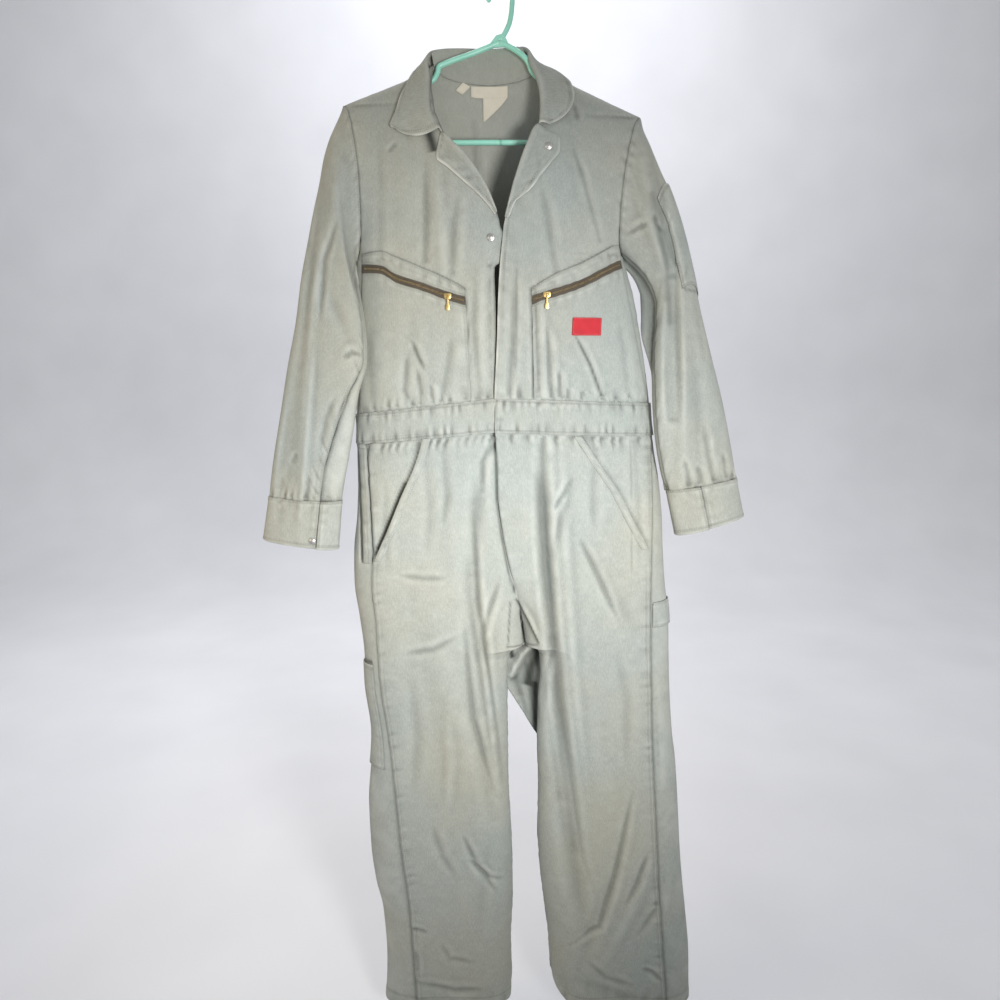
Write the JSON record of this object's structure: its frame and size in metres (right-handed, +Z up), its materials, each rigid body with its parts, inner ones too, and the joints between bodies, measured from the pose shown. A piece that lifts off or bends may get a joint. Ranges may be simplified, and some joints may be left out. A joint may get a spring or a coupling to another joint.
{
  "type": "boiler suit on a hanger",
  "caption": "Long-sleeved cotton boiler suit with slanted zipped chest pockets and a turned-down collar, hanging on a plastic tube hanger.",
  "frame": {"origin": "inside top of the hanger's hook, where the hook rests on a rail", "axes": "+Z up, front towards -Y, the wearer's left side towards +X"},
  "size_m": [0.7862, 0.1012, 1.711],
  "materials": {
    "twill": "sage green cotton twill, washed soft",
    "zip_tape": "brown woven zip tape with fine metal teeth",
    "zip_metal": "aged brass",
    "patch": "plain red woven patch with a stitched border",
    "label": "cream woven label, blank",
    "snap_metal": "nickel plated",
    "hanger_plastic": "glossy mint green"
  },
  "bodies": {
    "suit": {"front_right": "twill", "front_left": "twill", "back": "twill", "waistband_right": "twill", "waistband_left": "twill", "waistband_back": "twill", "collar_leaf": "twill", "collar_stand": "twill", "lapel_right": "twill", "lapel_left": "twill", "sleeve_right_upper": "twill", "sleeve_right_under": "twill", "sleeve_left_upper": "twill", "sleeve_left_under": "twill", "cuff_right": "twill", "cuff_left": "twill", "leg_right_front": "twill", "leg_right_back": "twill", "leg_left_front": "twill", "leg_left_back": "twill", "pocket_band_right": "twill", "pocket_band_left": "twill", "chest_pocket_right": "twill", "chest_pocket_left": "twill", "hip_pocket_right": "twill", "hip_pocket_left": "twill", "sleeve_pocket_left": "twill", "tool_pocket_right": "twill", "hammer_loop_left": "twill", "side_vent_right": "twill", "zip_tape_right": "zip_tape", "zip_tape_left": "zip_tape", "zip_slider_right": "zip_metal", "zip_slider_left": "zip_metal", "chest_patch": "patch", "neck_label": "label", "size_label": "label", "snap_lapel": "snap_metal", "snap_front": "snap_metal", "snap_cuff": "snap_metal", "hanger": "hanger_plastic"},
    "pull_right": {"zip_pull_right": "zip_metal"},
    "pull_left": {"zip_pull_left": "zip_metal"}
  },
  "joints": [
    {"name": "zip_pull_right_hinge", "type": "hinge", "parent": "suit", "child": "pull_right", "pos_m": [-0.079, -0.05754, -0.4565], "axis": [-1, 0, 0], "range_deg": [0, 140]},
    {"name": "zip_pull_left_hinge", "type": "hinge", "parent": "suit", "child": "pull_left", "pos_m": [0.071, -0.05651, -0.454], "axis": [-1, 0, 0], "range_deg": [0, 140]}
  ]
}
